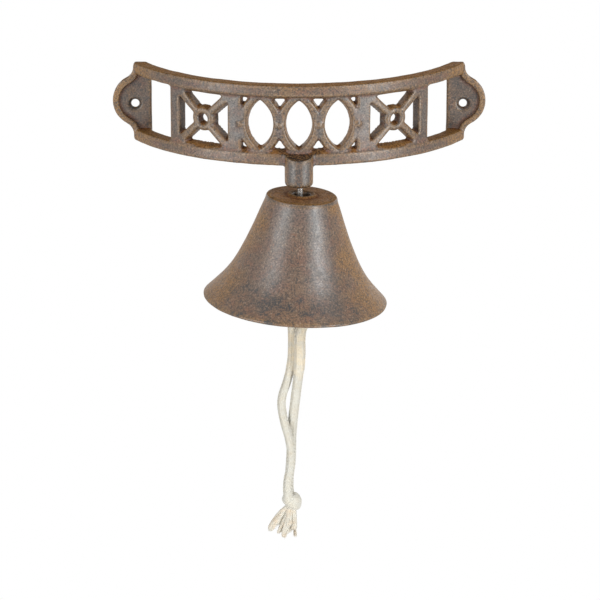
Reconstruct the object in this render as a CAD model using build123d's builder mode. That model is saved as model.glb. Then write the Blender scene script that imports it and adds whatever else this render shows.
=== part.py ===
from build123d import *
import math
import os

# A cast iron door bell on a wall bracket, in millimetres.
# The origin is midway between the two screw holes, on the wall: X right, Z up, the front towards -Y.

# Bracket: a band that bows out from the wall, between two ears
screw_spacing = 203.0
screw_hole_diameter = 5.0
screw_sink_diameter = 8.4
band_top = 26.3
band_bottom = -23.0
bow_outer_radius = 115.9
bow_axis_y = 50.6
rail_depth = 8.9
top_rail_height = 6.9
lower_rail_height = 7.1
rail_edge_radius = 0.9
ear_edge_x = 102.4
rail_end_x = 101.4
ear_inner_x = 91.2
ear_inner_corner = 3.6
ear_lobe_radius = 16.0
ear_lobe_x = 99.2
ear_lobe_z = 2.2
ear_fillet = 8.0
ear_corner_radius = 2.2
ear_field_thickness = 3.3
ear_rim_thickness = 5.6
ear_rim_width = 3.6

# Openwork between the rails
infill_setback = 1.3
infill_half_angle = 43.3
opening_inset = 2.6
opening_corner = 0.7
stroke_draft = 1.0
bevel_depth = 1.5
bevel_width = 1.2
lattice_angle = 30.9
lattice_width = 33.0
lattice_bar = 6.6
lattice_ring_radius = 8.4
lattice_eye_radius = 2.2
almond_pitch_angle = 12.1
almond_overlap = 2.8
almond_half_height = 20.8
almond_eye_half_width = 7.4
almond_eye_half_height = 13.9
stile_clearance = 0.3
boss_radius = 3.2
boss_rise = 1.2

# Post under the middle of the band, and the eye that is screwed up into it
post_radius = 8.6
post_y = -63.6
post_shoulder_drop = 2.5
post_bottom = -35.4
post_edge_radius = 2.0
eye_x = 0.6
eye_wire_radius = 1.6
eye_shank_radius = 1.7
eye_ring_radius = 5.0
eye_shank_top = -25.0
eye_ring_top = -47.88

# Bell, which hangs a little askew because its core sat off centre in the mould
bell_tilt = 3.6
crown_x = 1.7
crown_thickness = 3.6
crown_radius = 21.7
crown_edge_radius = 1.6
crown_hole_radius = 5.2
crown_dish_radius = 9.5
crown_dish_depth = 1.0
bell_height = 66.2
mouth_radius = 56.2
bell_wall = 4.4
core_shift = 0.39
washer_radius = 7.5
washer_hole_radius = 3.5
washer_thickness = 1.3
seat_gap = 0.05

# Clapper on its hook
hook_wire_radius = 1.3
hook_bend_radius = 3.45
hook_centres = 10.52
clapper_eye_wire = 1.6
clapper_eye_radius = 4.2
shank_top_radius = 2.6
shank_low_radius = 4.4
ball_radius = 10.5
ball_drop = 25.5
tail_wire = 1.5
tail_ring_radius = 5.2
tail_drop = 41.3

# Rope, doubled through the clapper's tail ring and knotted; each strand's route is X, Y and Z
rope_diameter = 5.7
rope_turn = 4.8
left_route = [
    (-4.6, -63.4, -123.5),
    (-3.9, -61.4, -136.0),
    (-5.2, -61.7, -150.0),
    (-11.9, -63.1, -172.0),
    (-10.6, -62.3, -183.0),
    (-6.0, -60.6, -197.5),
    (-4.9, -60.5, -212.0),
    (-5.4, -60.7, -240.0),
]
right_route = [
    (4.6, -63.8, -120.9),
    (1.4, -64.6, -130.5),
    (0.2, -65.6, -147.0),
    (-3.2, -64.8, -178.0),
    (-5.2, -66.7, -198.0),
    (-4.8, -66.7, -214.0),
    (-5.4, -66.5, -240.0),
]
knot_middle = (-4.8, -63.6, -240.5)
knot_half_width = 6.6
knot_half_height = 5.6
knot_flat_radius = 2.4
frayed_top = (-6.0, -64.0, -243.5)
frayed_radius = 3.0
frayed_spread = 6.2
frayed_length = 21.5
short_tail_angle = 37.0
short_tail_length = 24.5
short_tail_radius = 2.7

os.makedirs("parts", exist_ok=True)

bow_inner_radius = bow_outer_radius - rail_depth
band_middle = (band_top - top_rail_height + band_bottom + lower_rail_height) / 2
opening_height = band_top - band_bottom - top_rail_height - lower_rail_height


def along_bow(angle):
    """The direction from the bow's axis out to the band, at an angle from straight ahead."""
    turn = math.radians(angle)
    return Vector(math.sin(turn), -math.cos(turn), 0)


def section_plane(angle):
    """A plane through the bow's axis: X outward, Y up."""
    outward = along_bow(angle)
    return Plane(origin=(0, bow_axis_y, 0), x_dir=outward, z_dir=outward.cross(Vector(0, 0, 1)))


def panel_plane(angle, radius):
    """A plane that touches a radius of the bow and faces outward, with Y up."""
    outward = along_bow(angle)
    middle = Vector(0, bow_axis_y, band_middle) + outward * radius
    return Plane(origin=middle, x_dir=Vector(0, 0, 1).cross(outward), z_dir=outward)


infill_back = bow_inner_radius + infill_setback
infill_front = bow_outer_radius - infill_setback


def vesica(half_width, half_height, growth=0.0):
    """A pointed oval, what two equal circles have in common, made larger all round by a growth."""
    radius = (half_width**2 + half_height**2) / (2 * half_width)
    with BuildSketch(mode=Mode.PRIVATE) as shape:
        with Locations((radius - half_width, 0)):
            Circle(radius + growth)
        with Locations((half_width - radius, 0)):
            Circle(radius + growth, mode=Mode.INTERSECT)
    return shape.sketch


def lattice_openings(radius, growth):
    """What two crossed bars and the ring on their crossing leave of a rectangle."""
    width = lattice_width + 2 * growth
    height = opening_height - 2 * opening_inset + 2 * growth
    with BuildSketch(mode=Mode.PRIVATE) as shape:
        Rectangle(width, height)
        for lean in (-1, 1):
            with Locations(Location((0, 0), lean * math.degrees(math.atan2(height, width)))):
                Rectangle(2 * width, lattice_bar - 2 * growth, mode=Mode.SUBTRACT)
        Circle(lattice_ring_radius - growth, mode=Mode.SUBTRACT)
        fillet(shape.vertices(), opening_corner)
        Circle(lattice_eye_radius + growth)
    return shape.sketch


def gaps_beside_oval(radius, growth, side, two_ovals):
    """What is open above and below an oval's waist, up to the next oval or up to an upright stile."""
    half_pitch = radius * math.tan(math.radians(almond_pitch_angle / 2))
    half_width = half_pitch + almond_overlap
    bend = (half_width**2 + almond_half_height**2) / (2 * half_width)
    arc_middle = half_pitch + bend - half_width
    edge_x = 0.0 if two_ovals else stile_clearance
    low = math.sqrt((bend - growth) ** 2 - (arc_middle - edge_x) ** 2)
    top = opening_height / 2 - opening_inset + growth
    heights = (low, (low + top) / 2, top)
    widths = [arc_middle - math.sqrt((bend - growth) ** 2 - height**2) for height in heights]
    with BuildSketch(mode=Mode.PRIVATE) as shape:
        for up in (1, -1):
            curve = [(side * widths[i], up * heights[i]) for i in range(3)]
            with BuildLine():
                ThreePointArc(*curve)
                if two_ovals:
                    facing = [(-x, y) for x, y in curve]
                    Line(curve[2], facing[2])
                    ThreePointArc(*reversed(facing))
                else:
                    Polyline(curve[2], (side * edge_x, up * top), curve[0])
            make_face()
    return shape.sketch


def gaps_between_ovals(radius, growth):
    """The two gaps between neighbouring ovals."""
    return gaps_beside_oval(radius, growth, 1, True)


def gaps_right_of_oval(radius, growth):
    """The two gaps between the last oval and the right stile."""
    return gaps_beside_oval(radius, growth, -1, False)


def gaps_left_of_oval(radius, growth):
    """The two gaps between the first oval and the left stile."""
    return gaps_beside_oval(radius, growth, 1, False)


def almond_eye(radius, growth):
    """The opening inside a pointed oval."""
    return vesica(almond_eye_half_width, almond_eye_half_height, growth)


def ear_outline(side, inner_x):
    """An ear's outline on the wall, out from a distance from the middle: a round lobe with soft necks."""
    with BuildSketch(mode=Mode.PRIVATE) as shape:
        with Locations((side * (ear_edge_x + inner_x) / 2, (band_top + band_bottom) / 2)):
            Rectangle(ear_edge_x - inner_x, band_top - band_bottom)
        by_x = shape.vertices().sort_by(Axis.X)
        fillet(by_x[-2:] if side > 0 else by_x[:2], ear_corner_radius)
        with Locations((side * ear_lobe_x, ear_lobe_z)):
            Circle(ear_lobe_radius)
        with Locations((side * (inner_x - 20), 0)):
            Rectangle(40, 80, mode=Mode.SUBTRACT)
        on_edge = [v for v in shape.vertices() if abs(abs(v.X) - ear_edge_x) < 0.01]
        necks = [v for v in on_edge if abs(v.Y - ear_lobe_z) < ear_lobe_radius]
        fillet(necks, ear_fillet)
    return shape.sketch


# Post: its shoulder slopes down and forward from the lower rail's top
post_top = band_bottom + lower_rail_height
post_front = post_y - post_radius
rail_front = bow_axis_y - bow_outer_radius
with BuildPart() as post:
    with BuildSketch(Plane.XY.offset(post_bottom)):
        with Locations((0, post_y)):
            Circle(post_radius)
    extrude(amount=post_top - 0.3 - post_bottom)
    fillet(post.edges().group_by(Axis.Z)[0], post_edge_radius)
    with BuildSketch(Plane.YZ):
        with BuildLine():
            Polyline(
                (rail_front + 0.8, post_top),
                (rail_front + 0.8, post_top + 1),
                (post_front - 1, post_top + 1),
                (post_front - 1, post_top - post_shoulder_drop),
                (post_front, post_top - post_shoulder_drop),
                close=True,
            )
        make_face()
    extrude(amount=post_radius, both=True, mode=Mode.SUBTRACT)

with BuildPart() as bracket:
    # rails, with rounded edges, carried round the bow and trimmed at the wall and the ears
    end_angle = math.degrees(math.acos(bow_axis_y / bow_outer_radius)) + 1
    mid_radius = bow_outer_radius - rail_depth / 2
    bow_axis = Axis((0, bow_axis_y, 0), (0, 0, 1))
    with BuildSketch(section_plane(-end_angle)):
        with Locations((mid_radius, band_top - top_rail_height / 2)):
            RectangleRounded(rail_depth, top_rail_height, rail_edge_radius)
        with Locations((mid_radius, band_bottom + lower_rail_height / 2)):
            RectangleRounded(rail_depth, lower_rail_height, rail_edge_radius)
    revolve(axis=bow_axis, revolution_arc=2 * end_angle)
    split(bisect_by=Plane.XZ, keep=Keep.TOP)
    split(bisect_by=Plane.YZ.offset(rail_end_x), keep=Keep.BOTTOM)
    split(bisect_by=Plane.YZ.offset(-rail_end_x), keep=Keep.TOP)
    # the plate that the openings are cut from
    with BuildSketch(section_plane(-infill_half_angle)):
        with Locations((mid_radius, band_middle)):
            Rectangle(rail_depth - 2 * infill_setback, opening_height + 2)
    revolve(axis=bow_axis, revolution_arc=2 * infill_half_angle)
    # openings: each widens towards the front as a casting's draft does, and has a bevel there
    panels = [(side * lattice_angle, lattice_openings) for side in (-1, 1)]
    panels += [(place * almond_pitch_angle, gaps_between_ovals) for place in (-0.5, 0.5)]
    panels.append((-1.5 * almond_pitch_angle, gaps_left_of_oval))
    panels.append((1.5 * almond_pitch_angle, gaps_right_of_oval))
    panels += [(place * almond_pitch_angle, almond_eye) for place in (-1, 0, 1)]
    bevel_start = infill_front - bevel_depth
    stages = [
        (infill_back - 1.5, 0.0),
        (bevel_start, stroke_draft),
        (infill_front + 0.1, stroke_draft + bevel_width),
    ]
    for angle, openings in panels:
        outlines = []
        for radius, growth in stages:
            faces = openings(radius, growth).faces()
            faces = sorted(faces, key=lambda face: (round(face.center().X), round(face.center().Y)))
            outlines.append([panel_plane(angle, radius) * face for face in faces])
        for start, end in ((0, 1), (1, 2)):
            for near, far in zip(outlines[start], outlines[end]):
                loft([near, far], ruled=True, mode=Mode.SUBTRACT)
    # round bosses where the ovals touch
    for place in (-1.5, -0.5, 0.5, 1.5):
        centre = panel_plane(place * almond_pitch_angle, infill_front - boss_radius + boss_rise)
        with Locations(centre):
            Sphere(boss_radius)
    # ears, flat on the wall: a raised rim, which follows the outline, round a lower field
    for side in (-1, 1):
        with BuildSketch(Plane.XZ) as ear:
            add(ear_outline(side, ear_inner_x))
            by_x = ear.vertices().sort_by(Axis.X)
            chamfer(by_x[:2] if side > 0 else by_x[-2:], ear_inner_corner)
        extrude(amount=ear_rim_thickness)
        with BuildSketch(Plane.XZ.offset(ear_field_thickness)):
            offset(ear_outline(side, ear_inner_x - 10), amount=-ear_rim_width, mode=Mode.ADD)
            with Locations((side * ear_inner_x, band_middle)):
                Rectangle(60, opening_height, mode=Mode.INTERSECT)
        extrude(amount=ear_rim_thickness, mode=Mode.SUBTRACT)
        hole_plane = Plane(origin=(side * screw_spacing / 2, -ear_field_thickness, 0), z_dir=(0, -1, 0))
        with Locations(hole_plane):
            CounterSinkHole(screw_hole_diameter / 2, screw_sink_diameter / 2, depth=2 * ear_field_thickness)
    # post, with a blind hole for the eye's shank
    add(post.part)
    with BuildSketch(Plane.XY.offset(post_bottom)):
        with Locations((eye_x, post_y)):
            Circle(eye_shank_radius)
    extrude(amount=eye_shank_top - post_bottom, mode=Mode.SUBTRACT)
bracket.part.label = "bracket"
export_step(bracket.part, "parts/bracket.step")

# Eye screw: a round ring in the plane of the clapper's swing to and from the wall, on a straight shank
ring_middle_z = eye_ring_top - eye_ring_radius
with BuildPart() as eye_screw:
    with BuildSketch(Plane.XZ.offset(-post_y)):
        with Locations((eye_x, eye_ring_top)):
            Circle(eye_wire_radius)
    revolve(axis=Axis((eye_x, post_y, ring_middle_z), (1, 0, 0)))
    with BuildSketch(Plane.XY.offset(eye_ring_top)):
        with Locations((eye_x, post_y)):
            Circle(eye_shank_radius)
    extrude(amount=eye_shank_top - eye_ring_top)
eye_screw.part.label = "eye_screw"
export_step(eye_screw.part, "parts/eye_screw.step")

# The bell's own frame: X to its right, Y up along its axis, from the middle of its crown
lean = math.radians(bell_tilt)
bell_right = Vector(math.cos(lean), 0, -math.sin(lean))
bell_up = Vector(math.sin(lean), 0, math.cos(lean))
seat = Vector(eye_x, post_y, eye_ring_top)
seat_height = eye_wire_radius + seat_gap + washer_thickness + crown_thickness
crown_z = eye_ring_top + (seat_height - (crown_x - eye_x) * math.sin(lean)) / math.cos(lean)
crown = Vector(crown_x, post_y, crown_z)
bell_plane = Plane(origin=crown, x_dir=bell_right, z_dir=(0, -1, 0))
bell_axis = Axis(crown, bell_up)

# Seat washer, loose on the eye's shoulders
washer_plane = Plane(origin=seat + bell_up * (eye_wire_radius + seat_gap), x_dir=bell_right, z_dir=bell_up)
with BuildPart() as seat_washer:
    with BuildSketch(washer_plane):
        Circle(washer_radius)
        Circle(washer_hole_radius, mode=Mode.SUBTRACT)
    extrude(amount=washer_thickness)
    fillet(seat_washer.edges().filter_by(GeomType.CIRCLE), 0.3)
seat_washer.part.label = "seat_washer"
export_step(seat_washer.part, "parts/seat_washer.step")

# Bell: a flat crown, a flared body and a rounded lip
with BuildPart() as bell:
    with BuildSketch(bell_plane):
        with BuildLine():
            top = Line((0, 0), (crown_radius - crown_edge_radius, 0))
            edge = JernArc(top @ 1, top % 1, crown_edge_radius, -78)
            flank = Spline(
                edge @ 1,
                (24.8, -10.0),
                (30.7, -25.6),
                (37.7, -41.0),
                (45.8, -54.0),
                (mouth_radius, -bell_height + 1.1),
                tangents=(edge % 1, (0.9, -1)),
            )
            lip = RadiusArc(flank @ 1, (mouth_radius - 1.4, -bell_height), 1.2)
            under = Line(lip @ 1, (0, -bell_height))
            Line(under @ 1, top @ 0)
        make_face()
    revolve(axis=bell_axis)
    with BuildSketch(bell_plane):
        with BuildLine():
            shift = -core_shift
            roof = Line((shift, -crown_thickness), (crown_radius - bell_wall - 3.0, -crown_thickness))
            shoulder = JernArc(roof @ 1, roof % 1, 3.2, -76)
            inside = Spline(
                shoulder @ 1,
                (20.4, -10.8),
                (26.6, -27.2),
                (33.4, -42.4),
                (41.0, -55.0),
                (mouth_radius - 4.2, -bell_height),
                tangents=(shoulder % 1, (0.85, -1)),
            )
            below = Line(inside @ 1, (mouth_radius - 4.2, -bell_height - 1))
            back = Line(below @ 1, (shift, -bell_height - 1))
            Line(back @ 1, roof @ 0)
        make_face()
    core_axis = Axis(crown - bell_right * core_shift, bell_up)
    revolve(axis=core_axis, mode=Mode.SUBTRACT)
    with BuildSketch(bell_plane):
        with BuildLine():
            Polyline(
                (0, 1),
                (crown_dish_radius, 1),
                (crown_dish_radius, 0),
                (crown_hole_radius, -crown_dish_depth),
                (crown_hole_radius, -crown_thickness - 1),
                (0, -crown_thickness - 1),
                close=True,
            )
        make_face()
    revolve(axis=bell_axis, mode=Mode.SUBTRACT)
bell.part.label = "bell"
export_step(bell.part, "parts/bell.step")

# S hook through the eye: two bends and the straight between them
upper_bend = Vector(eye_x, post_y, ring_middle_z - eye_ring_radius)
hook_middle = upper_bend + Vector(0, 0, -hook_centres / 2)
slant = math.degrees(math.asin(hook_bend_radius / (hook_centres / 2)))
hook_plane = Plane(origin=hook_middle, x_dir=(1, 0, 0), z_dir=(0, -1, 0))
with BuildPart() as s_hook:
    with BuildLine(hook_plane) as hook_line:
        top_bend = CenterArc((0, hook_centres / 2), hook_bend_radius, 210, -(210 + slant))
        low_bend = CenterArc((0, -hook_centres / 2), hook_bend_radius, 180 - slant, 210 + slant)
        Line(top_bend @ 1, low_bend @ 0)
    hook_path = hook_line.wires()[0]
    with BuildSketch(Plane(origin=hook_path @ 0, z_dir=hook_path % 0)):
        Circle(hook_wire_radius)
    sweep()
s_hook.part.label = "s_hook"
export_step(s_hook.part, "parts/s_hook.step")

# Clapper: one casting with a ring at its top, a tapered shank, a ball and a ring for the rope
hook_bottom = upper_bend.Z - hook_centres - hook_bend_radius
top_ring_z = upper_bend.Z - hook_centres - clapper_eye_radius
ball_z = hook_bottom - ball_drop
tail_ring_z = hook_bottom - tail_drop
with BuildPart() as clapper:
    for ring_z, ring_radius, wire in (
        (top_ring_z, clapper_eye_radius, clapper_eye_wire),
        (tail_ring_z, tail_ring_radius, tail_wire),
    ):
        with BuildSketch(Plane.XZ.offset(-post_y)):
            with Locations((eye_x, ring_z - ring_radius)):
                Circle(wire)
        revolve(axis=Axis((eye_x, post_y, ring_z), (1, 0, 0)))
    with BuildSketch(Plane(origin=(eye_x, post_y, 0), x_dir=(1, 0, 0), z_dir=(0, -1, 0))):
        with BuildLine():
            neck = Line(
                (shank_top_radius, top_ring_z - clapper_eye_radius),
                (shank_low_radius, ball_z + math.sqrt(ball_radius**2 - shank_low_radius**2)),
            )
            ball_arc = 90 + math.degrees(math.acos(shank_low_radius / ball_radius))
            side = CenterArc((0, ball_z), ball_radius, -90, ball_arc)
            spine = Line(side @ 0, (0, top_ring_z - clapper_eye_radius))
            Line(spine @ 1, neck @ 0)
        make_face()
    revolve(axis=Axis((eye_x, post_y, 0), (0, 0, 1)))
clapper.part.label = "clapper"
export_step(clapper.part, "parts/clapper.step")


def limp_radii(points, first):
    """Bend radii for a limp rope's route: the first for its turn, then as large as its runs allow."""
    radii = [first]
    for i in range(2, len(points) - 1):
        before = Vector(points[i]) - Vector(points[i - 1])
        after = Vector(points[i + 1]) - Vector(points[i])
        half_turn = math.radians(before.get_angle(after)) / 2
        if i == 2:
            radii.append(min(first, 0.5 * before.length / math.tan(half_turn)))
        else:
            radii.append(0.45 * min(before.length, after.length) / math.tan(half_turn))
    return radii


# Rope strands: each leaves the top of the turn over the tail ring's lower side
bar_z = tail_ring_z - tail_ring_radius
octagon_half_side = rope_turn * math.tan(math.pi / 8)
strands = {}
for name, side, route in (("rope_left", -1, left_route), ("rope_right", 1, right_route)):
    turn_points = [
        (eye_x, post_y, bar_z + rope_turn),
        (eye_x + side * octagon_half_side, post_y, bar_z + rope_turn),
        (eye_x + side * rope_turn, post_y, bar_z + octagon_half_side),
    ]
    points = turn_points + route
    radii = limp_radii(points, 0.95 * rope_turn)
    with BuildPart() as strand:
        with BuildLine() as line:
            FilletPolyline(*points, radius=radii)
        path = line.wires()[0]
        with BuildSketch(Plane(origin=path @ 0, z_dir=path % 0)):
            Circle(rope_diameter / 2)
        sweep(path=path)
    strands[name] = strand
    section = math.pi * rope_diameter**2 / 4
    print(name, "radii", [round(r, 1) for r in radii])
    print(name, "volume", round(strand.part.volume), "section by length", round(section * path.length))
rope_left = strands["rope_left"]
rope_right = strands["rope_right"]
rope_left.part.label = "rope_left"
rope_right.part.label = "rope_right"
export_step(rope_left.part, "parts/rope_left.step")
export_step(rope_right.part, "parts/rope_right.step")

# Knot with its two ends, one short and one that has frayed into a brush
with BuildPart() as rope_knot:
    with BuildSketch(Plane(origin=knot_middle, x_dir=(1, 0, 0), z_dir=(0, -1, 0))):
        with BuildLine():
            upper = Line((0, knot_half_height), (knot_flat_radius, knot_half_height))
            waist = ThreePointArc(upper @ 1, (knot_half_width, 0), (knot_flat_radius, -knot_half_height))
            lower = Line(waist @ 1, (0, -knot_half_height))
            Line(lower @ 1, upper @ 0)
        make_face()
    revolve(axis=Axis(knot_middle, (0, 0, 1)))
    with Locations(Location(frayed_top, (180, 0, 0))):
        Cone(frayed_radius, frayed_spread, frayed_length, align=(Align.CENTER, Align.CENTER, Align.MIN))
    with Locations(Location(frayed_top, (180, -short_tail_angle, 0))):
        Cylinder(short_tail_radius, short_tail_length, align=(Align.CENTER, Align.CENTER, Align.MIN))
    add(rope_left.part, mode=Mode.SUBTRACT)
    add(rope_right.part, mode=Mode.SUBTRACT)
rope_knot.part.label = "rope_knot"
export_step(rope_knot.part, "parts/rope_knot.step")
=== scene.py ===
"""Dressed model of a cast iron door bell: bowed openwork bracket, hanging bell, clapper and rope pull.

Lengths are in millimetres in the part's own frame, unless a name or comment says otherwise, and become
metres in the meshes: X right, Z up, the wall at Y = 0 and the bell towards -Y.
"""

import logging
import math
from dataclasses import dataclass, replace
from enum import Enum

import bpy
import numpy as np
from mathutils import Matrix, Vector

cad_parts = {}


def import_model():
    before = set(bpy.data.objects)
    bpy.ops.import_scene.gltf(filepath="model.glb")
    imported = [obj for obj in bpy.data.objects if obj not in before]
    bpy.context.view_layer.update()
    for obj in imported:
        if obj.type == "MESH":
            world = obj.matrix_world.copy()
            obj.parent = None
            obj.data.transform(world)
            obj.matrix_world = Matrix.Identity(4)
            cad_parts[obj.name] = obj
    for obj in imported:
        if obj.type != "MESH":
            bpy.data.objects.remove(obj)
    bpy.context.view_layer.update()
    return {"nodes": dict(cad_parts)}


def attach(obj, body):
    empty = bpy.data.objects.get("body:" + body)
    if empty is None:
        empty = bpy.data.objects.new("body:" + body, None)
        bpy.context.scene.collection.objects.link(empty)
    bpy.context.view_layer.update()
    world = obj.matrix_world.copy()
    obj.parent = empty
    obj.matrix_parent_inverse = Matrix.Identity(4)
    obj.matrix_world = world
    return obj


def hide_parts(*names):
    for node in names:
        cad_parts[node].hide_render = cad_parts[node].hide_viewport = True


log = logging.getLogger("door_bell")

MM = 0.001
LAMP_TARGET = (0.0, -0.06, -0.08)  # where the lamps point, in metres

Triple = tuple[float, float, float]
Span = tuple[float, float]


class Body(str, Enum):
    """The rigid bodies that pieces ride on."""

    WALL_BRACKET = "wall_bracket"
    WASHER = "washer"
    BELL = "bell"
    HOOK = "hook"
    CLAPPER = "clapper"
    ROPE = "rope"


class Layer(str, Enum):
    """The colour layers that a casting's mesh stores for its finish.

    WEAR holds how proud, how hollow and how much facing up the surface is, and TINT how much ochre, soot
    and painted grey there is on it. The ochre is partly painted flank shading, the soot partly painted
    shade, and the grey is painted highlight and reflection.
    """

    WEAR = "wear"
    TINT = "tint"


@dataclass(frozen=True)
class Shell:
    """Points and faces of one mesh.

    Attributes:
        points: one row of X, Y and Z for each point, in millimetres.
        quads: one row of four point numbers for each face.
        caps: blocks of larger faces that close tubes, one row of point numbers each.
    """

    points: np.ndarray
    quads: np.ndarray
    caps: tuple[np.ndarray, ...] = ()


class Relief:
    """Smooth seeded noise on a repeating lattice, sampled at many points at once."""

    def __init__(self, seed: int, cells: int = 32) -> None:
        """Fills the lattice.

        Args:
            seed: the same seed gives the same noise.
            cells: how many lattice steps there are before the noise repeats.
        """
        self.cells = cells
        self.values = np.random.default_rng(seed).uniform(-1.0, 1.0, (cells, cells, cells))

    def sample(self, points: np.ndarray, wavelength: float) -> np.ndarray:
        """Noise from -1 to 1: each point blends its cell's eight corner values.

        Args:
            points: rows of X, Y and Z.
            wavelength: the size of one lattice step, in the unit of the points.

        Returns:
            One value for each point.
        """
        place = points / wavelength
        base = np.floor(place).astype(int)
        part = place - base
        part = part * part * (3.0 - 2.0 * part)
        total = np.zeros(len(points))
        for corner in np.ndindex(2, 2, 2):
            index = (base + corner) % self.cells
            weight = np.prod(np.where(corner, part, 1.0 - part), axis=1)
            total += weight * self.values[index[:, 0], index[:, 1], index[:, 2]]
        return total


def smooth_step(value: np.ndarray, low: float, high: float) -> np.ndarray:
    """0 below low, 1 above high, and 3t^2 - 2t^3 between them."""
    t = np.clip((value - low) / (high - low), 0.0, 1.0)
    return t * t * (3.0 - 2.0 * t)


def hump(value: np.ndarray, middle: float, width: float) -> np.ndarray:
    """1 at the middle and falling off on both sides: exp(-((value - middle) / width)^2)."""
    return np.exp(-((value - middle) / width) ** 2)


def coarseness() -> float:
    """How much larger than its own size a piece's faces are made."""
    return 1.0


def add_object(name: str, data: bpy.types.ID) -> bpy.types.Object:
    """A new object in the scene, at the origin.

    Args:
        name: its name.
        data: its mesh, curve, lamp or camera.

    Returns:
        The object.
    """
    obj = bpy.data.objects.new(name, data)
    bpy.context.scene.collection.objects.link(obj)
    return obj


def final_mesh(obj: bpy.types.Object) -> bpy.types.Mesh:
    """A new mesh of an object as its modifiers or its curve make it.

    Args:
        obj: the object.

    Returns:
        The mesh.
    """
    graph = bpy.context.evaluated_depsgraph_get()
    return bpy.data.meshes.new_from_object(obj.evaluated_get(graph))


def link_mesh(name: str, shell: Shell) -> bpy.types.Object:
    """Makes a smooth-shaded object from a shell.

    Args:
        name: the piece's name.
        shell: its points, in millimetres, and faces.

    Returns:
        The new object, at the origin.
    """
    faces = shell.quads.tolist()
    for block in shell.caps:
        faces.extend(block.tolist())
    mesh = bpy.data.meshes.new(name)
    mesh.from_pydata((shell.points * MM).tolist(), [], faces)
    mesh.polygons.foreach_set("use_smooth", np.ones(len(mesh.polygons), dtype=bool))
    mesh.update()
    return add_object(name, mesh)


def read_rows(items: bpy.types.bpy_prop_collection, name: str, width: int, kind: type) -> np.ndarray:
    """One property of all of a mesh's items.

    Args:
        items: the mesh's points, normals, edges, corners or faces.
        name: the property.
        width: how many numbers it has for each item.
        kind: the numbers' type.

    Returns:
        One row for each item.
    """
    flat = np.empty(width * len(items), dtype=kind)
    items.foreach_get(name, flat)
    return flat.reshape(-1, width)


def mesh_points(mesh: bpy.types.Mesh) -> np.ndarray:
    """The mesh's points as rows of X, Y and Z, in millimetres."""
    return read_rows(mesh.vertices, "co", 3, float) / MM


def mesh_normals(mesh: bpy.types.Mesh) -> np.ndarray:
    """The normals at the mesh's points."""
    return read_rows(mesh.vertex_normals, "vector", 3, np.float32)


def spread(rows: np.ndarray, edges: np.ndarray, rounds: int) -> np.ndarray:
    """Moves each point's numbers halfway to the mean of its neighbours', again and again.

    Args:
        rows: one row of numbers for each point.
        edges: rows of two point numbers.
        rounds: how many times to do it.

    Returns:
        The evened rows.
    """
    count = len(rows)
    ends = np.concatenate([edges[:, 0], edges[:, 1]])
    others = np.concatenate([edges[:, 1], edges[:, 0]])
    shares = np.maximum(np.bincount(ends, minlength=count), 1)
    result = rows.copy()
    for _ in range(rounds):
        sums = [np.bincount(ends, weights=column, minlength=count) for column in result[others].T]
        result = 0.5 * result + 0.5 * np.stack(sums, axis=1) / shares[:, None]
    return result


def store_layer(mesh: bpy.types.Mesh, layer: Layer, channels: list[np.ndarray]) -> None:
    """Stores three numbers for each point as a colour layer.

    Args:
        mesh: the mesh.
        layer: which layer to make.
        channels: its red, green and blue, one number for each point.
    """
    colours = np.ones((len(mesh.vertices), 4))
    colours[:, :3] = np.clip(np.stack(channels, axis=1), 0.0, 1.0)
    stored = mesh.attributes.new(layer.value, "FLOAT_COLOR", "POINT")
    stored.data.foreach_set("color", colours.ravel())


def mark_wear(mesh: bpy.types.Mesh, rounds: int, reach: float) -> None:
    """Stores where a casting is proud, hollow or faces up, for its finish to read.

    The height is the distance from the surface to its own evened copy, along the normal.

    Args:
        mesh: the casting's mesh.
        rounds: how far the evened surface is spread.
        reach: the height over the evened surface that counts as fully proud.
    """
    points = mesh_points(mesh)
    normals = mesh_normals(mesh)
    edges = read_rows(mesh.edges, "vertices", 2, int)
    height = np.einsum("ij,ij->i", points - spread(points, edges, rounds), normals) / reach
    facts = np.clip(np.stack([height, -height, normals[:, 2]], axis=1), 0, 1)
    store_layer(mesh, Layer.WEAR, list(spread(facts, edges, 1).T))


def roughen(mesh: bpy.types.Mesh, relief: Relief, steps: tuple[tuple[float, float], ...]) -> None:
    """Gives a casting the uneven surface that a sand mould leaves: noise added along the normals.

    Args:
        mesh: the casting's mesh.
        relief: the noise to use.
        steps: pairs of wavelength and height.
    """
    points = mesh_points(mesh)
    normals = mesh_normals(mesh)
    lift = np.zeros(len(points))
    for wavelength, height in steps:
        lift += height * relief.sample(points + 5.0 * wavelength, wavelength)
    mesh.vertices.foreach_set("co", ((points + lift[:, None] * normals) * MM).ravel())
    mesh.update()


def soft_copy(solid: bpy.types.Object, name: str, voxel: float, rounds: int) -> bpy.types.Object:
    """A copy of a closed solid with even faces, and edges as soft as a casting's or a bent wire's.

    Args:
        solid: the solid.
        name: the new piece's name.
        voxel: the face size.
        rounds: how many smoothing rounds the edges get.

    Returns:
        The new object.
    """
    obj = add_object(name, solid.data.copy())
    remesh = obj.modifiers.new("even_faces", "REMESH")
    remesh.mode = "VOXEL"
    remesh.voxel_size = voxel * MM
    remesh.use_smooth_shade = True
    smooth = obj.modifiers.new("soft_edges", "SMOOTH")
    smooth.factor = 0.5
    smooth.iterations = rounds
    mesh = final_mesh(obj)
    obj.modifiers.clear()
    obj.data = mesh
    mesh.materials.clear()
    return obj


def resample(line: np.ndarray, spacing: float) -> np.ndarray:
    """Even samples along a line of close points, by interpolation on its running length.

    Args:
        line: rows of coordinates.
        spacing: the distance between samples, in the unit of the line.

    Returns:
        The samples, ends included.
    """
    lengths = np.concatenate([[0.0], np.cumsum(np.linalg.norm(np.diff(line, axis=0), axis=1))])
    count = max(2, int(round(lengths[-1] / spacing)) + 1)
    places = np.linspace(0.0, lengths[-1], count)
    return np.stack([np.interp(places, lengths, line[:, k]) for k in range(line.shape[1])], axis=1)


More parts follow.
